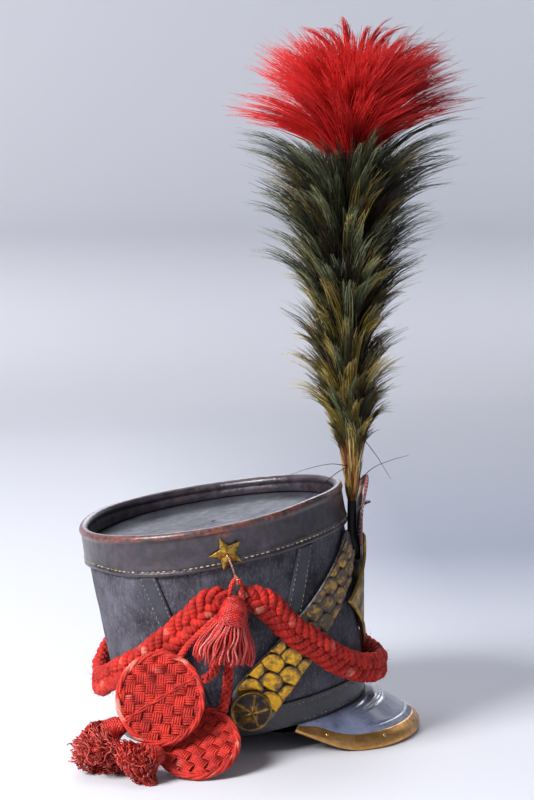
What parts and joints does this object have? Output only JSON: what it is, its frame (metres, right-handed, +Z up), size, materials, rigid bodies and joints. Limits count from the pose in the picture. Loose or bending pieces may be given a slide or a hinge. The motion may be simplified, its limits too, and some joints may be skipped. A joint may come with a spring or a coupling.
{
  "type": "shako hat",
  "caption": "Tall black felt military shako that widens upward, with leather bands, peak, brass chin scales and plate, cockade, feather plume and red braided cap lines with tassels.",
  "frame": {"origin": "on the floor plane, under the middle of the hat's outline without its cords, with the hat resting tilted back as in the picture", "axes": "+Z up and along the plume, +X towards the front with the peak, +Y towards the wearer's left side; the cords hang on the -Y side, the wearer's right"},
  "size_m": [0.3667, 0.3012, 0.6311],
  "materials": {
    "boss_left_brass": "dark patina with a rubbed gilt rim",
    "boss_right_brass": "dark patina with a rubbed gilt rim",
    "chevron_front_left_leather": "worn black leather, stitched edges",
    "chevron_front_right_leather": "worn black leather, stitched edges",
    "chevron_rear_left_leather": "worn black leather, stitched edges",
    "chevron_rear_right_leather": "worn black leather, stitched edges",
    "chin_scales_left_brass": "stamped brass with brown patina",
    "chin_scales_right_brass": "stamped brass with brown patina",
    "chin_strap_left_leather": "dull grey brown leather",
    "chin_strap_right_leather": "dull grey brown leather",
    "cockade_silk": "pleated silk in faded red and cream",
    "cockade_loop_leather": "black leather",
    "grey_black_felt": "worn fibrous wool felt, grey black",
    "crown_top_leather": "dusty black leather",
    "festoon_front_wool": "red worsted cord, plaited",
    "festoon_rear_wool": "red worsted cord, plaited",
    "front_plate_brass": "dull tarnished brass",
    "hook_loop_left_wool": "red worsted cord",
    "hook_loop_right_wool": "red worsted cord",
    "lower_band_leather": "worn black leather",
    "peak_leather": "varnished black leather with fine cracks",
    "peak_trim_brass": "tarnished brass",
    "dark_cock_feather": "green black feathers",
    "plume_neck_whipping": "straw gold thread whipping",
    "red_cock_feather": "bright red feathers",
    "plume_socket_leather": "black leather",
    "raquette_lower_wool": "red worsted cord, woven",
    "raquette_stem_lower_wool": "red worsted cord, twisted",
    "raquette_stem_upper_1_wool": "red worsted cord, twisted",
    "raquette_stem_upper_2_wool": "red worsted cord, twisted",
    "raquette_upper_wool": "red worsted cord, woven",
    "star_hook_left_brass": "yellow brass",
    "star_hook_right_brass": "yellow brass",
    "floor_tassel_silk_1": "red silk strands with a soft shine",
    "floor_tassel_silk_2": "red silk strands with a soft shine",
    "side_tassel_silk": "red silk strands with a soft shine",
    "black_band_leather": "worn black leather with rubbed brown edges"
  },
  "bodies": {
    "root": {"boss_left": "boss_left_brass", "boss_right": "boss_right_brass", "chevron_front_left": "chevron_front_left_leather", "chevron_front_right": "chevron_front_right_leather", "chevron_rear_left": "chevron_rear_left_leather", "chevron_rear_right": "chevron_rear_right_leather", "chin_scales_left": "chin_scales_left_brass", "chin_scales_right": "chin_scales_right_brass", "chin_strap_left": "chin_strap_left_leather", "chin_strap_right": "chin_strap_right_leather", "cockade": "cockade_silk", "cockade_loop": "cockade_loop_leather", "crown_body": "grey_black_felt", "crown_disc": "crown_top_leather", "festoon_front": "festoon_front_wool", "festoon_rear": "festoon_rear_wool", "front_plate": "front_plate_brass", "hook_loop_left": "hook_loop_left_wool", "hook_loop_right": "hook_loop_right_wool", "lower_band": "lower_band_leather", "peak": "peak_leather", "peak_trim": "peak_trim_brass", "plume_green": "dark_cock_feather", "plume_neck": "plume_neck_whipping", "plume_red": "red_cock_feather", "plume_socket": "plume_socket_leather", "raquette_lower": "raquette_lower_wool", "raquette_stem_lower": "raquette_stem_lower_wool", "raquette_stem_upper_1": "raquette_stem_upper_1_wool", "raquette_stem_upper_2": "raquette_stem_upper_2_wool", "raquette_upper": "raquette_upper_wool", "star_hook_left": "star_hook_left_brass", "star_hook_right": "star_hook_right_brass", "tassel_floor_1": "floor_tassel_silk_1", "tassel_floor_2": "floor_tassel_silk_2", "tassel_side": "side_tassel_silk", "top_band": "black_band_leather"}
  },
  "joints": []
}
